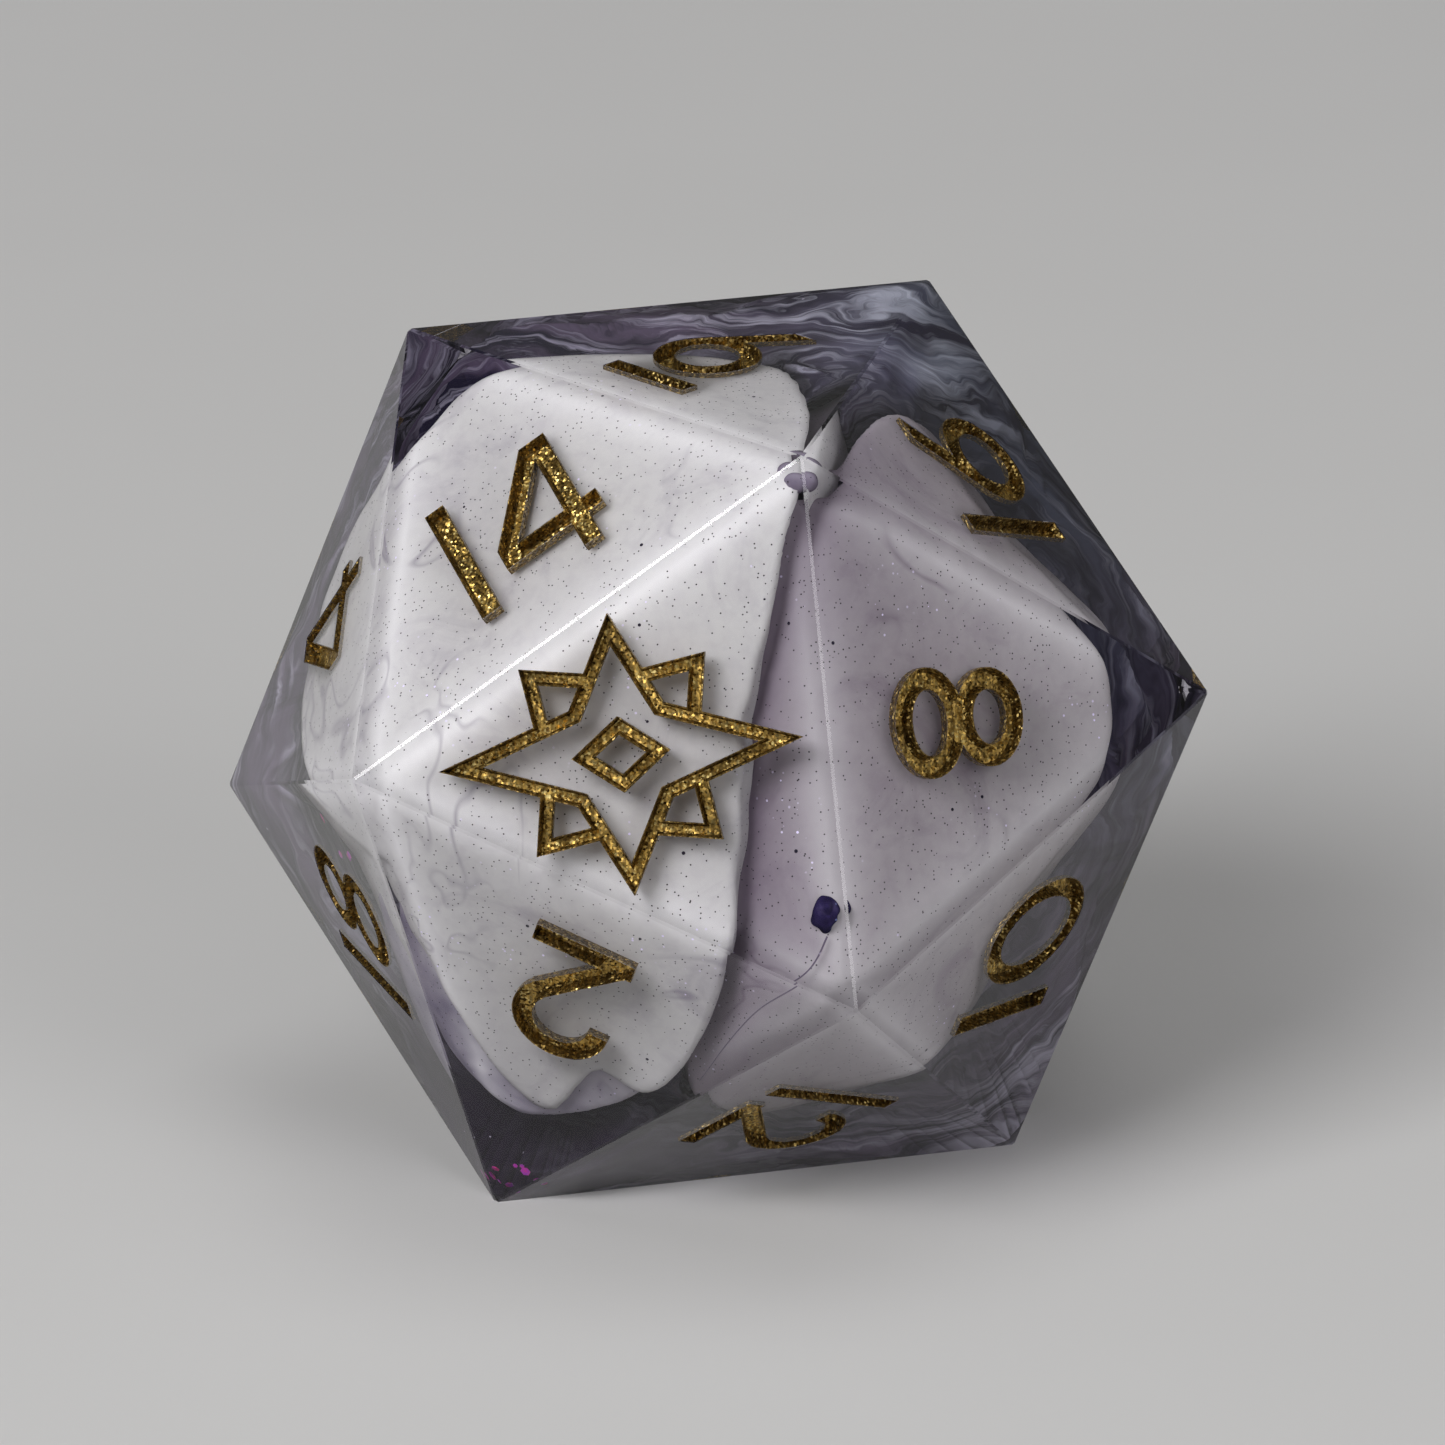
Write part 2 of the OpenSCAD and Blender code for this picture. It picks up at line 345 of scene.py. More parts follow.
def pigment_material(name, light, veil, shadow):
    """Milky pigment, veined, mottled and clouded by a darker veil, with hairlines, dark specks and
    clusters of shimmer. The attribute edge adds a painted highlight under the casting's edges, and the
    attribute shade darkens it."""
    n = Nodes(name)
    veins = n.ramp(n.noise(330, 7, 1.4, 0.62), (0.52, 0.0), (0.74, 0.8))
    mottling = n.ramp(n.noise(2600, 3), (0.42, 0.0), (0.75, 0.25))
    patches = n.ramp(n.noise(140, 3), (0.4, 0.0), (0.65, 0.22))
    colour = light
    for amount in (veins, mottling, patches):
        colour = n.mix(amount, colour, veil)
    # Painted highlight: the pigment is lighter under the casting's edges
    colour = n.mix(n.maths("MULTIPLY", n.attribute("edge"), 0.6), colour, PAINTED_EDGE_HIGHLIGHT)
    from_middle = n.maths("ABSOLUTE", n.maths("SUBTRACT", n.noise(150, 2, 1.6, 0.5), 0.5))
    hairs = n.ramp(from_middle, (0.0, 1.0), (0.022, 0.0))
    hair_places = n.ramp(n.noise(190, 3), (0.52, 0.0), (0.66, 0.5))
    colour = n.mix(n.maths("MULTIPLY", hairs, hair_places), colour, shadow)
    colour = n.mix(n.attribute("shade"), colour, shadow)
    colour = n.mix(n.specks(0.15 * MM, 0.023 * MM, 0.7), colour, FINE_SPECK)
    colour = n.mix(n.specks(0.95 * MM, 0.05 * MM, 0.45), colour, COARSE_SPECK)
    clusters = n.ramp(n.noise(380, 2), (0.56, 0.0), (0.66, 1.0))
    shimmer = n.maths("MULTIPLY", n.specks(0.2 * MM, 0.035 * MM, 0.4), clusters)
    colour = n.mix(shimmer, colour, SHIMMER)
    n.bump(n.noise(900, 4), 0.05 * MM, 0.5)
    return n.set(Base_Color=colour, Roughness=0.75, Specular_IOR_Level=0.0)


INK_BLACK, FOOT_BLACK, GREY_HAZE, SMOKE_SPECK = (
    (0.008, 0.006, 0.02), (0.008, 0.003, 0.014), (0.085, 0.086, 0.095), (0.5, 0.46, 0.58),
)  # fmt: skip
MAUVE, SLATE, PALE_MAUVE, PALE_SLATE = (
    (0.1, 0.076, 0.122), (0.062, 0.07, 0.104), (0.44, 0.42, 0.51), (0.4, 0.425, 0.5),
)  # fmt: skip
FADE = 10 * MM


def smoke_material(name):
    """Dusky mauve, and slate blue high on the right, with dark bands and fine pale wisps that flow around
    the blooms. It is a grey haze at the right corner and nearly black at the foot."""
    n = Nodes(name)
    near = n.maths("MINIMUM", n.distance(LEFT_AT), n.distance(RIGHT_AT))
    flow = n.maths("ADD", near, n.maths("MULTIPLY", n.noise(230, 3), 5 * MM))
    parts = n.add("ShaderNodeSeparateXYZ", Vector=n.place).outputs

    def along_flow(fine, coarse, detail):
        place = n.add("ShaderNodeCombineXYZ", X=n.maths("MULTIPLY", flow, 1 / fine),
                      Y=n.maths("MULTIPLY", parts["X"], 1 / coarse),
                      Z=n.maths("MULTIPLY", parts["Z"], 1 / coarse))  # fmt: skip
        return n.noise(1.0, detail, 0.3, 0.6, place.outputs[0])

    bands = n.ramp(along_flow(1.6 * MM, 6 * MM, 4), (0.4, 0.0), (0.58, 1.0))
    wisps = n.ramp(along_flow(0.42 * MM, 4 * MM, 5), (0.46, 0.0), (0.64, 1.0))
    patches = n.ramp(n.noise(190, 3, 0.6), (0.4, 0.12), (0.62, 1.0))
    right = n.ramp(n.maths("MULTIPLY", parts["X"], 1 / FADE), (0.0, 0.0), (0.6, 1.0))
    high = n.ramp(n.maths("MULTIPLY", parts["Z"], 1 / FACE_TO_FACE), (0.35, 0.0), (0.65, 1.0))
    to_right = n.maths("MULTIPLY", right, high)
    middle = n.mix(to_right, MAUVE, SLATE)
    pale = n.mix(to_right, PALE_MAUVE, PALE_SLATE)
    colour = n.mix(bands, INK_BLACK, middle)
    colour = n.mix(n.maths("MULTIPLY", wisps, patches), colour, pale)
    haze = n.ramp(n.maths("MULTIPLY", n.distance(RIGHT_CORNER), 1 / FADE), (0.2, 0.7), (0.5, 0.0))
    colour = n.mix(haze, colour, GREY_HAZE)
    foot = n.ramp(n.maths("MULTIPLY", n.distance(FOOT), 1 / FADE), (0.25, 0.9), (0.6, 0.0))
    colour = n.mix(foot, colour, FOOT_BLACK)
    colour = n.mix(n.specks(0.8 * MM, 0.04 * MM, 0.12), colour, SMOKE_SPECK)
    n.bump(wisps, 0.06 * MM, 0.4)
    return n.set(Base_Color=colour, Roughness=0.8, Specular_IOR_Level=0.0)


def ink_material(name, deep, middle, pale, speck):
    """Dark ink that swirls into paler tones as far as the attribute shade lets it."""
    n = Nodes(name)
    swirl = n.maths("MULTIPLY", n.attribute("shade"), n.noise(1500, 5, 1.0, 0.6))
    colour = n.ramp(swirl, (0.05, deep), (0.3, middle), (0.6, pale))
    colour = n.mix(n.specks(0.12 * MM, 0.03 * MM, 0.15), colour, speck)
    return n.set(Base_Color=colour, Roughness=0.5, Specular_IOR_Level=0.0)


FLAKE, FLAKE_TILT = 0.06 * MM, 0.9


def gold_material(name, glint_gold, light, dark):
    """Metallic flakes that each lie a little askew, under fine dark print lines and darker patches. The
    brightest flakes are painted glints in the base colour.
    """
    n = Nodes(name)
    flakes = n.add("ShaderNodeTexVoronoi", Vector=n.place, Scale=1 / FLAKE)
    parts = n.add("ShaderNodeSeparateColor", Color=flakes.outputs["Color"]).outputs
    lines = n.add("ShaderNodeTexWave", Vector=n.place, Scale=1500.0, Distortion=1.5, Detail=3.0)
    # Flakes run from dark to bright gold; the brightest stop is a painted glint
    colour = n.ramp(parts["Red"], (0.0, dark), (0.35, light), (0.76, light), (0.9, glint_gold))
    colour = n.mix(n.ramp(lines.outputs["Fac"], (0.25, 0.45), (0.6, 0.0)), colour, dark)
    colour = n.mix(n.ramp(n.noise(800, 4), (0.45, 0.0), (0.7, 0.6)), colour, dark)
    centred = n.vector("SUBTRACT", flakes.outputs["Color"], (0.5, 0.5, 0.5))
    askew = n.vector("MULTIPLY", centred, (FLAKE_TILT,) * 3)
    surface = n.tree.nodes.new("ShaderNodeNewGeometry").outputs["Normal"]
    normal = n.vector("NORMALIZE", n.vector("ADD", surface, askew))
    rough = n.ramp(parts["Blue"], (0.0, 0.22), (1.0, 0.5))
    return n.set(Base_Color=colour, Metallic=0.9, Roughness=rough, Normal=normal)


def glint_material(name, magenta, violet, red):
    """Metallic flakes whose colour changes from magenta over violet to red."""
    n = Nodes(name)
    colour = n.ramp(n.noise(2500, 2), (0.35, magenta), (0.55, violet), (0.7, red))
    return n.set(Base_Color=colour, Metallic=0.7, Roughness=0.3)


# ---- The casting: flat faces with recesses, narrow chamfers and corner caps ----


def build_casting(marks):
    """Points and faces of the casting, whose faces meet in narrow chamfers and small corner caps."""
    points, faces = [], []

    def add(rows):
        first = len(points)
        points.extend(rows)
        return first

    near = {}
    for face in FACES:
        rim = [c + unit(face.middle - c) * 2 * EDGE_CHAMFER for c in (CORNERS[i] for i in face.trio)]
        loops = marks[face.number]
        first = add(rim)
        for i, corner in enumerate(face.trio):
            near[face.number, corner] = first + i
        flat_rim = face.to_face(np.array(rim))[:, :2]
        top = add(face.to_row(np.concatenate(loops), 0.0))
        floor = add(face.to_row(np.concatenate(loops), -ENGRAVE_DEPTH))
        turned = [flat_rim] + [loop[::-1] for loop in loops]
        index = np.concatenate([np.arange(RIM_CORNERS)] + list(turned_index(loops)))
        faces += [tuple(first + index[i] for i in t) for t in filled(turned)]
        faces += [tuple(floor + i for i in t) for t in filled(loops)]
        faces += rows_between(loops, floor, top)

    def outward(ids):
        p = [points[i] for i in ids]
        turn = np.cross(p[1] - p[0], p[2] - p[1])
        return tuple(ids) if turn @ (sum(p) / len(p) - CENTRE) > 0 else tuple(reversed(ids))

    by_edge = {}
    for face in FACES:
        for a, b in zip(face.trio, face.trio[1:] + face.trio[:1]):
            by_edge.setdefault(frozenset((a, b)), []).append(face)
    for edge, (f, g) in by_edge.items():
        a, b = sorted(edge)
        faces.append(outward([near[f.number, a], near[f.number, b], near[g.number, b], near[g.number, a]]))
    for corner, place in enumerate(CORNERS):
        around = [f for f in FACES if corner in f.trio]
        axis = unit(place - CENTRE)
        side = unit(np.cross(axis, around[0].middle - place))
        across = np.cross(axis, side)
        around.sort(key=lambda f: math.atan2((f.middle - place) @ across, (f.middle - place) @ side))
        faces.append(outward([near[f.number, corner] for f in around]))
    return points, faces


# ---- Gold paint: a thin tray on each recess's floor and walls ----

PAINT_ROWS = [  # Inset from the recess's wall and height over the face, in millimetres
    (-0.004, -0.454), (-0.004, -0.02), (0.022, -0.035), (0.036, -0.2), (0.05, -0.34), (0.085, -0.395),
]  # fmt: skip


def build_paint(face, loops):
    """Points and faces of one mark's paint, and how many of the faces are walls."""
    rows = [(np.concatenate([moved_in(loop, inset * MM) for loop in loops]), height * MM)
            for inset, height in PAINT_ROWS]  # fmt: skip
    count = len(rows[0][0])
    points = np.concatenate([face.to_row(flat, height) for flat, height in rows])
    last = (len(rows) - 1) * count
    walls = []
    for i in range(len(rows) - 1):
        walls += rows_between(loops, (i + 1) * count, i * count)
    triangles = filled(loops)
    floor = [tuple(last + i for i in t) for t in triangles]
    under = [tuple(reversed(t)) for t in triangles]
    return points, walls + floor + under, len(walls)


# ---- Clouds of pigment: one surface around a centre, held inside the flat faces ----


def globe(rings):
    """Directions over a sphere, from a cube whose sides are divided evenly, with its quads."""
    index, dirs, quads = {}, [], []
    step = np.tan(np.linspace(-math.pi / 4, math.pi / 4, rings + 1))
    for axis in range(3):
        for sign in (-1, 1):
            grid = np.empty((rings + 1, rings + 1), int)
            for i, u in enumerate(step):
                for j, v in enumerate(step):
                    p = [0.0, 0.0, 0.0]
                    p[axis], p[(axis + 1) % 3], p[(axis + 2) % 3] = sign, u, v
                    k = tuple(round(c, 6) for c in p)
                    if k not in index:
                        index[k] = len(dirs)
                        dirs.append(p)
                    grid[i, j] = index[k]
            for i in range(rings):
                for j in range(rings):
                    q = (grid[i, j], grid[i + 1, j], grid[i + 1, j + 1], grid[i, j + 1])
                    quads.append(q if sign > 0 else q[::-1])
    dirs = np.array(dirs)
    return dirs / np.linalg.norm(dirs, axis=1, keepdims=True), quads


def soft_least(values, rounding):
    """The least value of each row, eased by the rounding where two are nearly the same."""
    low = values.min(axis=-1)
    return low - rounding * np.log(np.exp(-(values - low[..., None]) / rounding).sum(axis=-1))


LEAST_LEAN, FAR_OFF = 0.02, 9.0


def to_faces(start, dirs, inset):
    """Distances along each direction from start to the planes that lie inset under the faces."""
    room = FACE_RADIUS - np.reshape(inset, (-1, 1)) - (start - CENTRE) @ NORMALS.T
    lean = dirs @ NORMALS.T
    return np.where(lean > LEAST_LEAN, room / np.maximum(lean, LEAST_LEAN), FAR_OFF)


SEED_STEP = (7.3, 3.1, 5.7)
OCTAVE_SCALE, OCTAVE_WEIGHT = 2.03, 0.5


def billow(points, size, octaves, seed, ridged=False):
    """Smooth noise at each point, around 0, or thin ridges."""
    shift = Vector([seed * step for step in SEED_STEP])
    out = np.zeros(len(points))
    for i, p in enumerate(points):
        q, total, weight = Vector(p) / size + shift, 0.0, 1.0
        for _ in range(octaves):
            v = noise.noise(q)
            total += weight * ((1 - abs(v) * 2) if ridged else v)
            weight *= OCTAVE_WEIGHT
            q = q * OCTAVE_SCALE + shift
        out[i] = total
    return out


def add_values(piece, name, values):
    """A number from 0 to 1 at each point, for the piece's material."""
    layer = piece.data.attributes.new(name, "FLOAT", "POINT")
    layer.data.foreach_set("value", np.clip(values, 0, 1).astype(np.float32))


EDGE_REACH = 0.45 * MM


def edge_highlight_weight(points):
    """Share of painted highlight: 1 under an edge of the casting, and falling to 0 towards the middle of a
    face.
    """
    depths = np.sort(FACE_RADIUS - (points - CENTRE) @ NORMALS.T, axis=1)
    return np.exp(-(depths[:, 1] - depths[:, 0]) / EDGE_REACH)


def tree_of(points, quads):
    return BVHTree.FromPolygons([tuple(p) for p in points], [tuple(map(int, q)) for q in quads])


def at(x, y, z):
    """A point given in millimetres from the die's centre."""
    return CENTRE + np.array([x, y, z]) * MM


BLOOM_RINGS, SMOKE_RINGS = ((90, 110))
VIEW_TILT = math.radians(21)
TO_FRONT = np.array([0, -math.cos(VIEW_TILT), math.sin(VIEW_TILT)])
TO_TOP = np.array([0, math.sin(VIEW_TILT), math.cos(VIEW_TILT)])

# Each bloom's outline, as it goes round the bloom's centre anticlockwise from the right: turn and
# opening angle from the front in degrees, and reach in millimetres. Most rows of the two long tables are
# the output of a separate helper script, which worked them out from points picked by eye; KNOB_EDGE was
# chosen by hand
LEFT_AT, RIGHT_AT, KNOB_AT = at(-4, -3.5, 1.5), at(3.5, -3, 0.5), at(-4.8, -4.6, -4.4)
LEFT_EDGE = [
    (-175, 106, 6.4), (-165, 88, 5.9), (-147, 60, 5.9), (-135, 64, 6.2), (-120, 77, 6.7), (-106, 87, 7.8),
    (-97, 92, 9.0), (-90, 93, 9.6), (-83, 80, 8.3), (-76, 84, 9.5), (-70, 78, 9.3), (-61, 65, 9.0),
    (-52, 52, 9.2), (-39, 45, 8.4), (-20, 40, 7.8), (4, 39, 7.7), (20, 42, 8.3), (32, 47, 9.0),
    (41, 51, 10.0), (47, 57, 11.2), (51, 76, 10.6), (56, 90, 10.6), (68, 96, 9.9), (84, 97, 9.3),
    (97, 95, 9.2), (106, 95, 9.0), (114, 94, 8.3), (123, 98, 7.8), (133, 112, 7.7), (150, 121, 7.4),
    (174, 117, 6.9),
]  # fmt: skip
RIGHT_EDGE = [
    (-178, 60, 6.0), (-140, 60, 7.5), (-122, 68, 9.0), (-112, 84, 9.3), (-103, 87, 8.6), (-90, 84, 7.9),
    (-77, 82, 7.5), (-64, 80, 6.6), (-55, 70, 5.9), (-39, 67, 5.5), (-20, 71, 5.7), (-10, 74, 6.2),
    (-2, 75, 6.8), (9, 77, 7.0), (22, 77, 7.3), (34, 76, 6.9), (48, 76, 6.7), (62, 75, 7.0),
    (74, 82, 7.9), (81, 87, 8.6), (86, 81, 8.8), (91, 70, 8.8), (97, 56, 9.0), (110, 46, 9.2),
    (150, 55, 7.0),
]  # fmt: skip
KNOB_EDGE = [(-180, 80, 2.6), (-120, 88, 3.1), (-90, 96, 3.5), (-60, 88, 3.2), (0, 80, 2.8), (90, 80, 3.0)]
DROP = at(3.0, -11.2, -0.6)
BEAD = at(-4.41, -8.45, -3.24)
CORNER_BEAD = at(2.2, -7.1, 9.9)
FOOT = at(-4.6, -5.3, -9.2)
LEFT_SIDE = at(-10.2, -5.2, -1.6)
RIGHT_CORNER = CORNERS[6]
# How fast the reach grows inside an outline and shrinks past it, per radian of opening angle
SWELL, FALL = 1.3, 0.55
# The opening angles over which a bloom's back takes on one reach, in radians
BACK_FROM, BACK_OVER = 2.0, 0.9


def around(turn, table, column):
    """A column of an outline's table at each turn, smoothly joined up."""
    turns = [row[0] for row in table]
    even = np.arange(-180, 180, 2.0)
    values = np.interp(even, turns, [row[column] for row in table], period=360)
    for _ in range(2):
        values = (np.roll(values, 1) + 2 * values + np.roll(values, -1)) / 4
    return np.interp(turn, even, values, period=360)


def cloud_reach(dirs, edge):
    """Past its outline a bloom falls back; before it the bloom swells until the faces hold it."""
    opening = np.arccos(np.clip(dirs @ TO_FRONT, -1, 1))
    turn = np.degrees(np.arctan2(dirs @ TO_TOP, dirs[:, 0]))
    past = opening - np.radians(around(turn, edge, 1))
    reach = around(turn, edge, 2) * MM
    # The poles of the turn are evened out, so that the back closes smoothly
    back = np.mean([row[2] for row in edge]) * MM
    blend = np.clip((opening - BACK_FROM) / BACK_OVER, 0, 1)
    reach = reach * (1 - blend) + back * blend
    return reach * np.exp(np.where(past > 0, -FALL * past, -SWELL * past))


def neighbours_mean(values, quads, times):
    """Each point's value moved halfway to its neighbours' mean, as often as asked."""
    pairs = np.array(quads)
    a = np.concatenate([pairs[:, i] for i in range(4)])
    b = np.concatenate([pairs[:, (i + 1) % 4] for i in range(4)])
    count = np.bincount(a, minlength=len(values)) + np.bincount(b, minlength=len(values))
    for _ in range(times):
        total = np.bincount(a, values[b], len(values)) + np.bincount(b, values[a], len(values))
        values = 0.5 * values + 0.5 * total / count
    return values


# How far a bloom draws back where it touches the one beside it, and the gap that this fades over
CREASE_DEPTH = CREASE_REACH = 0.9
LUMP, RIPPLE, RIPPLE_HEIGHT = 3.6 * MM, 1.3 * MM, 0.03 * MM
WALL_ROUNDING = 0.2 * MM


def build_bloom(name, start, edge, skin, wobble, seed, node, material, rings=BLOOM_RINGS, beside=None):
    """A bloom that lies skin millimetres under the faces, and the gap from its points to the bloom
    beside it, in millimetres."""
    dirs, quads = globe(rings)
    reach = cloud_reach(dirs, edge)
    reach += billow(start + dirs * reach[:, None], LUMP, 3, seed) * wobble * MM
    walls = to_faces(start, dirs, skin * MM)
    reach = soft_least(np.concatenate([walls, reach[:, None]], axis=1), WALL_ROUNDING)
    gap = None
    if beside is not None:
        gaps = [beside.find_nearest(Vector(start + d * r))[3] for d, r in zip(dirs, reach)]
        gap = np.array(gaps) / MM
        reach -= CREASE_DEPTH * MM * np.exp(-gap / CREASE_REACH)
    points = start + dirs * reach[:, None]
    points += dirs * (billow(points, RIPPLE, 2, seed + 3) * RIPPLE_HEIGHT)[:, None]
    piece = new_piece(name, points, quads, [node], smooth=True, materials=[material])
    # The attribute edge carries the painted highlight under the casting's edges
    add_values(piece, "edge", edge_highlight_weight(points))
    return piece, points, quads, gap


# ---- Build ----

marks = {face.number: outlines(face) for face in FACES}
RESIN = resin_material()
WHITE = pigment_material("white_pigment", (0.53, 0.526, 0.518), (0.33, 0.305, 0.345), (0.14, 0.11, 0.18))
LILAC = pigment_material(
    "lilac_white_pigment", (0.43, 0.405, 0.42), (0.24, 0.2, 0.245), (0.12, 0.085, 0.13)
)
GREY = pigment_material("grey_pigment", (0.42, 0.39, 0.45), (0.26, 0.23, 0.32), (0.1, 0.08, 0.15))
BEAD_GREY = pigment_material("bead_pigment", (0.26, 0.235, 0.29), (0.16, 0.13, 0.19), (0.08, 0.06, 0.1))
INK = ink_material(
    "dark_ink", (0.006, 0.004, 0.02), (0.02, 0.014, 0.06), (0.1, 0.08, 0.2), (0.2, 0.24, 0.5)
)
SMOKE = smoke_material("violet_smoke")
GLINT = glint_material("magenta_glint", (0.95, 0.02, 0.3), (0.4, 0.03, 0.55), (0.95, 0.15, 0.1))
# In each gold, the first colour is the painted glint of the brightest flakes
GOLD = gold_material("gold_paint", (1.0, 0.8, 0.32), (0.66, 0.43, 0.11), (0.13, 0.08, 0.026))
# The walls carry the same gold paint in darker colours: painted shade inside the recess
SHADED_GOLD_WALL = gold_material("gold_paint_walls_shaded", (0.8, 0.58, 0.2), (0.24, 0.15, 0.04), (0.04, 0.024, 0.01))

points, faces = build_casting(marks)
new_piece("resin_casting", points, faces, ["resin_body"], materials=[RESIN])

for face in FACES:
    loops = marks[face.number]
    points, faces, walls = build_paint(face, loops)
    name = "star_paint" if face.number == 20 else f"numeral_paint_{face.number:02d}"
    paint = new_piece(name, points, faces, [face.node], materials=[GOLD, SHADED_GOLD_WALL])
    # Wall faces take the darker gold, whose darkness is painted shade in the recess
    paint.data.polygons.foreach_set("material_index", [1] * walls + [0] * (len(faces) - walls))

left, left_points, quads, _ = build_bloom(
    "white_bloom_left", LEFT_AT, LEFT_EDGE, 0.85, 0.18, 1, "bloom_left", WHITE
)
add_values(left, "shade", np.zeros(len(left_points)))
left_tree = tree_of(left_points, quads)
right, right_points, quads, gap = build_bloom(
    "white_bloom_right", RIGHT_AT, RIGHT_EDGE, 0.95, 0.22, 5, "bloom_right", LILAC,
    beside=left_tree,
)  # fmt: skip
SHADE_LEAST, SHADE_AT_CREASE, SHADE_REACH = 0.04, 0.8, 2.2
add_values(right, "shade", SHADE_LEAST + np.exp(-gap / SHADE_REACH) * SHADE_AT_CREASE)
right_tree = tree_of(right_points, quads)
knob, knob_points, quads, _ = build_bloom(
    "grey_knob", KNOB_AT, KNOB_EDGE, 1.2, 0.3, 9, "bloom_knob", GREY,
    rings=BLOOM_RINGS // 2,
)  # fmt: skip
add_values(knob, "shade", 0.35 + 0.5 * billow(knob_points, 1.5 * MM, 3, 11))
knob_tree = tree_of(knob_points, quads)

# The smoke fills the casting around the blooms. Its ridges come close under the faces, and it comes
# closer still under the corners. Where a bloom is in front of it, it stays back, and it dips near one
SMOKE_SKIN, CORNER_SKIN, SMOKE_ROUNDING = 0.85, 0.15, 0.07 * MM
CORNER_FROM, CORNER_OVER = 0.92, 0.07  # Cosines of the angle from a corner's direction
RIDGE_SIZE, RIDGE_DEPTH, RIDGE_SHARPNESS = 0.42, 2.0, 1.3
OUTSIDE = 16 * MM
BEHIND_BLOOM = 0.8 * MM
HOLLOW_DEPTH, HOLLOW_REACH = 0.6 * MM, 0.5

dirs, quads = globe(SMOKE_RINGS)
to_corner = (dirs @ np.array([unit(c - CENTRE) for c in CORNERS]).T).max(axis=1)
cornered = np.clip((to_corner - CORNER_FROM) / CORNER_OVER, 0, 1)
skin = SMOKE_SKIN + (CORNER_SKIN - SMOKE_SKIN) * cornered
walls = soft_least(to_faces(CENTRE, dirs, skin * MM), SMOKE_ROUNDING)
ridge = billow(dirs, RIDGE_SIZE, 5, 2, ridged=True)
ridge = np.clip((ridge - ridge.min()) / (ridge.max() - ridge.min()), 0, 1)
reach = walls - RIDGE_DEPTH * (1 - ridge**RIDGE_SHARPNESS) * (1 - cornered) * MM
for i, d in enumerate(dirs):
    ray = Vector(d)
    for tree in (left_tree, right_tree, knob_tree):
        hit = tree.ray_cast(Vector(CENTRE) + ray * OUTSIDE, -ray, OUTSIDE)
        if hit[0] is not None:
            reach[i] = min(reach[i], OUTSIDE - hit[3] - BEHIND_BLOOM)
        near = tree.find_nearest(Vector(CENTRE + d * reach[i]))[3] / MM
        reach[i] -= HOLLOW_DEPTH * math.exp(-near / HOLLOW_REACH)
reach = cornered * reach + (1 - cornered) * neighbours_mean(reach, quads, 2)
points = CENTRE + dirs * reach[:, None]
new_piece("smoke_cloud", points, quads, ["smoke_core"], smooth=True, materials=[SMOKE])


BALL_RINGS = 16


def small_ball(name, centre, radius, stretch, lumps, node, material, seed):
    """A lumpy ball with its radius in millimetres and its lumps as a share of that."""
    dirs, quads = globe(BALL_RINGS)
    points = centre + dirs * np.array(stretch) * radius * MM
    points += dirs * (billow(points, 0.5 * MM, 2, seed) * lumps * radius * MM)[:, None]
    piece = new_piece(name, points, quads, [node], smooth=True, materials=[material])
    add_values(piece, "shade", 0.4 + 0.4 * billow(points, 0.4 * MM, 2, seed + 1))


small_ball("ink_drop_dark", DROP, 0.5, (0.66, 0.55, 1.0), 0.4, "ink_drop", INK, 3)
small_ball("ink_bead_dark", BEAD, 0.22, (1, 1, 1), 0.15, "ink_bead", INK, 4)
small_ball(
    "corner_bead_grey", CORNER_BEAD, 0.31, (1, 0.9, 0.9), 0.1, "corner_bead", BEAD_GREY, 6
)


def curve_through(stops, steps):
    """A smooth curve through the stops, as evenly many points between each two."""
    stops = np.array([2 * stops[0] - stops[1], *stops, 2 * stops[-1] - stops[-2]])
    t = np.linspace(0, 1, steps, endpoint=False)[:, None]
    out = []
    for a, b, c, d in zip(stops, stops[1:], stops[2:], stops[3:]):
        out.append(b + t * (c - a) / 2 + t**2 * (2 * a - 5 * b + 4 * c - d) / 2
                   + t**3 * (3 * b - a - 3 * c + d) / 2)  # fmt: skip
    return np.concatenate([*out, stops[-2:-1]])


THREAD_SIDES, THREAD_STEPS = 8, 12


def thread(name, stops, depth, width_from, width_to, material):
    """A thin round strand of pigment at a depth under the faces, which tapers from first stop to last."""
    sides = THREAD_SIDES
    path = curve_through([at(*stop) for stop in stops], THREAD_STEPS) - CENTRE
    out = path / np.linalg.norm(path, axis=1, keepdims=True)
    path = CENTRE + out * soft_least(to_faces(CENTRE, out, depth * MM), WALL_ROUNDING)[:, None]
    ahead = np.gradient(path, axis=0)
    ahead /= np.linalg.norm(ahead, axis=1, keepdims=True)
    side = np.cross(ahead, TO_FRONT)
    side /= np.linalg.norm(side, axis=1, keepdims=True)
    over = np.cross(side, ahead)
    radius = np.linspace(width_from / 2, width_to / 2, len(path)) * MM
    points = [p + r * (math.cos(a) * u + math.sin(a) * v) for p, r, u, v in zip(path, radius, side, over)
              for a in np.arange(sides) * 2 * math.pi / sides]  # fmt: skip
    last = (len(path) - 1) * sides
    faces = [(i + j, i + sides + j, i + sides + (j + 1) % sides, i + (j + 1) % sides)
             for i in range(0, last, sides) for j in range(sides)]  # fmt: skip
    faces += [tuple(range(sides)), tuple(range(last, last + sides))[::-1]]
    piece = new_piece(name, points, faces, smooth=True, materials=[material])
    add_values(piece, "shade", np.full(len(points), 0.6))


thread("ink_trail", [(2.95, -11.3, -1.05), (2.5, -11.35, -1.8), (1.38, -11.1, -3.1), (0.5, -10.4, -4.6),
                     (-0.19, -9.5, -6.1)], 0.8, 0.05, 0.02, BEAD_GREY)  # fmt: skip


GLINT_DEPTH, GLINT_TILT, GLINT_SIZES = 0.55 * MM, 0.25, (0.07, 0.17)
GLINT_HALF_THICKNESS = 0.01 * MM


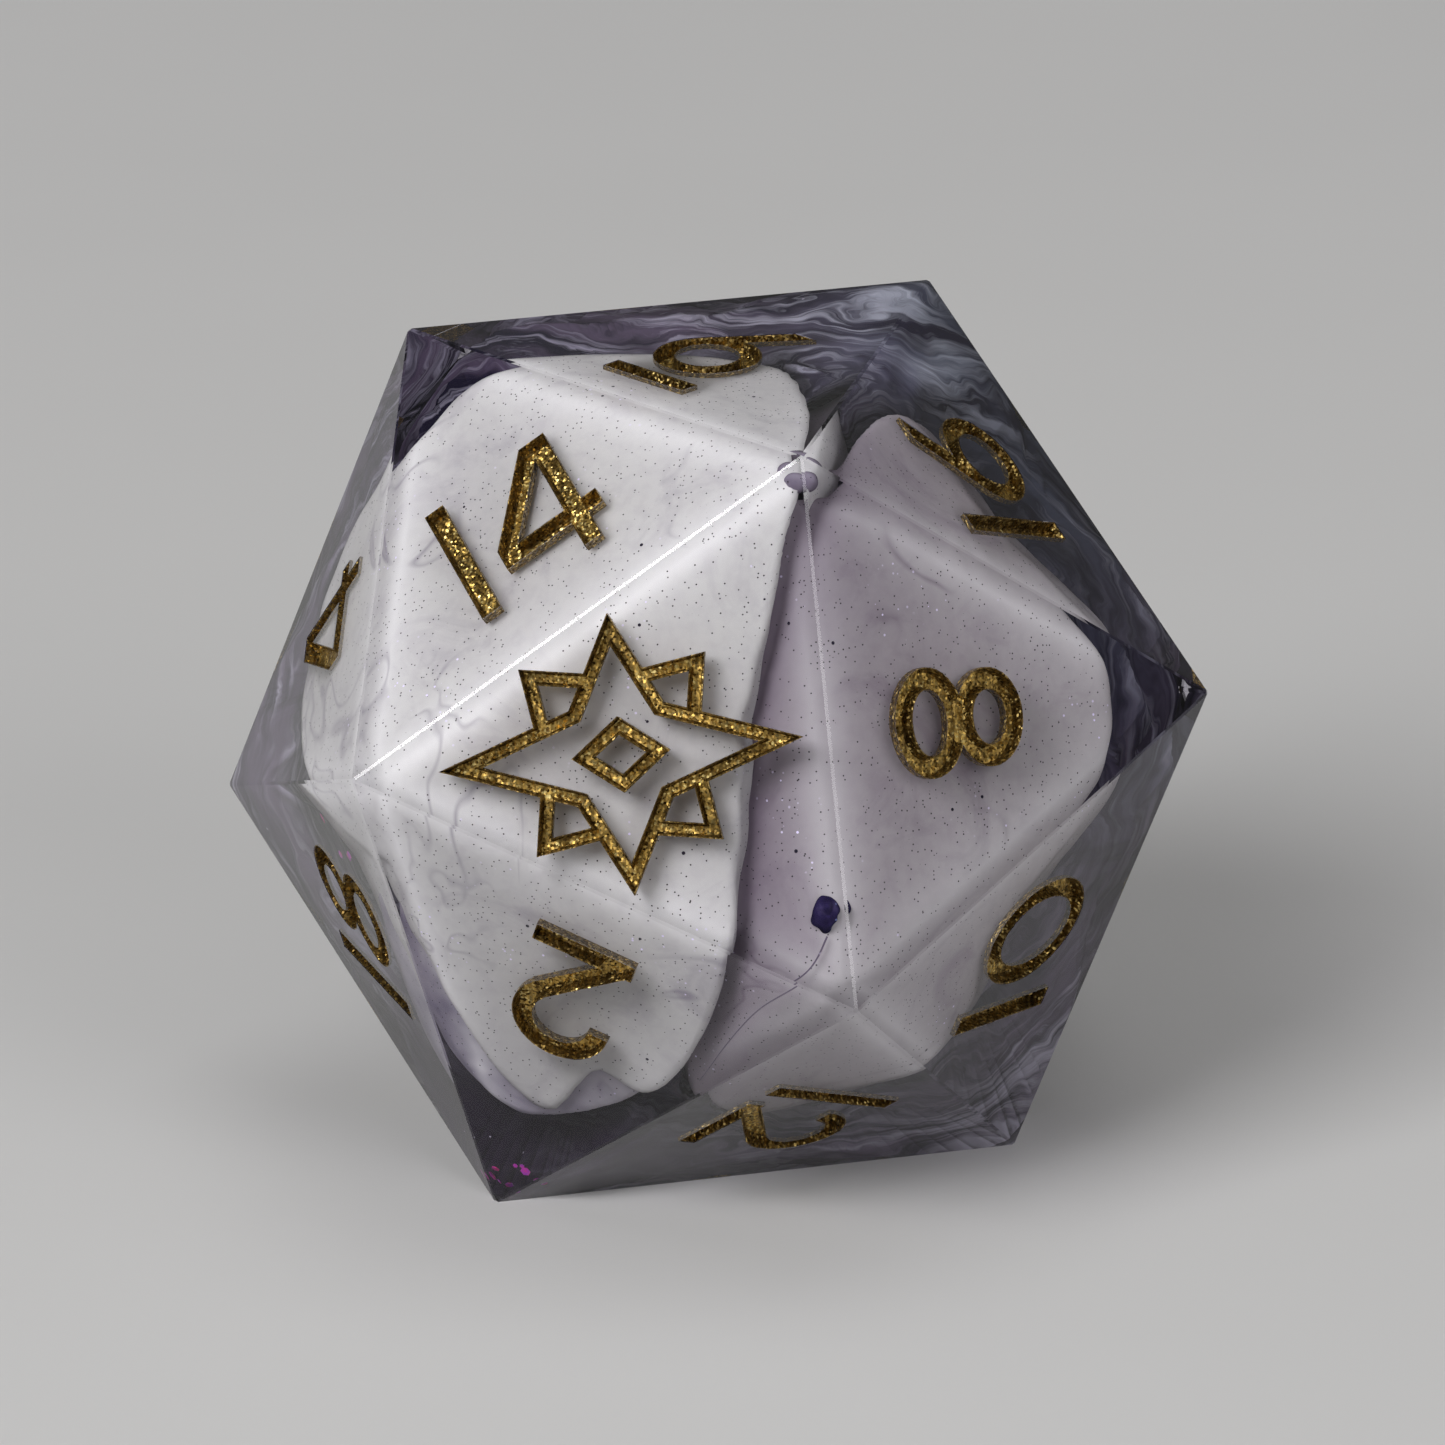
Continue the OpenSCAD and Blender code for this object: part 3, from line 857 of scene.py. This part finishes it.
def glints(name, middle, spread, count, seed):
    """Thin six-sided metal flakes scattered just under the faces, around the direction of a point."""
    rng = np.random.default_rng(seed)
    points, faces = [], []
    for _ in range(count):
        d = unit(middle - CENTRE + rng.normal(size=3) * spread)
        place = CENTRE + d * to_faces(CENTRE, d[None], GLINT_DEPTH).min()
        out = unit(NORMALS[np.argmax(NORMALS @ d)] + rng.normal(size=3) * GLINT_TILT)
        side = unit(np.cross(out, rng.normal(size=3)))
        size, first = rng.uniform(*GLINT_SIZES) * MM, len(points)
        for height in (-GLINT_HALF_THICKNESS, GLINT_HALF_THICKNESS):
            for a in np.arange(6) * math.pi / 3:
                flat = math.cos(a) * side + math.sin(a) * np.cross(out, side)
                points.append(place + size * flat + height * out)
        faces += [tuple(first + i for i in range(6))[::-1], tuple(first + 6 + i for i in range(6))]
        faces += [(first + i, first + (i + 1) % 6, first + 6 + (i + 1) % 6, first + 6 + i) for i in range(6)]
    new_piece(name, points, faces, materials=[GLINT])


glints("magenta_glints_foot", FOOT, 0.4 * MM, 12, 21)
glints("magenta_glints_left", LEFT_SIDE, 0.6 * MM, 7, 22)

# ---- Floor, light and camera ----


FLOOR_RADIUS, FLOOR_SIDES = 2.5, 48
WORLD_STRENGTH = 0.14


def build_floor():
    n = Nodes("pale_floor")
    colour = n.ramp(n.noise(14, 5), (0.3, (0.7, 0.695, 0.69)), (0.7, (0.74, 0.735, 0.73)))
    material = n.set(Base_Color=colour, Roughness=0.6, Specular_IOR_Level=0.3)
    turns = np.linspace(0, 2 * math.pi, FLOOR_SIDES, endpoint=False)
    rim = [(FLOOR_RADIUS * math.cos(a), FLOOR_RADIUS * math.sin(a), 0.0) for a in turns]
    mesh = bpy.data.meshes.new("floor")
    mesh.from_pydata(rim, [], [tuple(range(len(rim)))])
    mesh.materials.append(material)
    floor = bpy.data.objects.new("floor", mesh)
    bpy.context.scene.collection.objects.link(floor)


def soft_light(name, place, size, power):
    """A square light of that size in metres and power in watts, turned to the die."""
    light = bpy.data.lights.new(name, "AREA")
    light.size, light.energy = size, power
    holder = bpy.data.objects.new(name, light)
    holder.location = place
    holder.rotation_euler = (Vector(CENTRE) - Vector(place)).to_track_quat("-Z", "Y").to_euler()
    bpy.context.scene.collection.objects.link(holder)


build_floor()
scene = bpy.context.scene
world = bpy.data.worlds.new("studio")
world.use_nodes = True
background = world.node_tree.nodes["Background"].inputs
background["Color"].default_value = (1.0, 0.99, 0.98, 1)
background["Strength"].default_value = WORLD_STRENGTH
scene.world = world
soft_light("key", (-0.32, -0.36, 0.405), 0.3, 2.5)
soft_light("fill", (0.4, -0.42, 0.3), 0.3, 0.8)
soft_light("top", (0.05, 0.1, 0.75), 0.4, 0.7)
scene.view_settings.view_transform = "Standard"

CAMERA_DISTANCE = 356.6 * MM
AIM = at(0.25, 0.16, 0.41)
camera = bpy.data.objects.new("camera", bpy.data.cameras.new("camera"))
camera.data.sensor_width = 36
camera.data.lens = 330
camera.data.clip_start, camera.data.clip_end = 0.01, 20
camera.location = AIM + TO_FRONT * CAMERA_DISTANCE
camera.rotation_euler = Vector(TO_FRONT).to_track_quat("Z", "Y").to_euler()
scene.collection.objects.link(camera)
scene.camera = camera
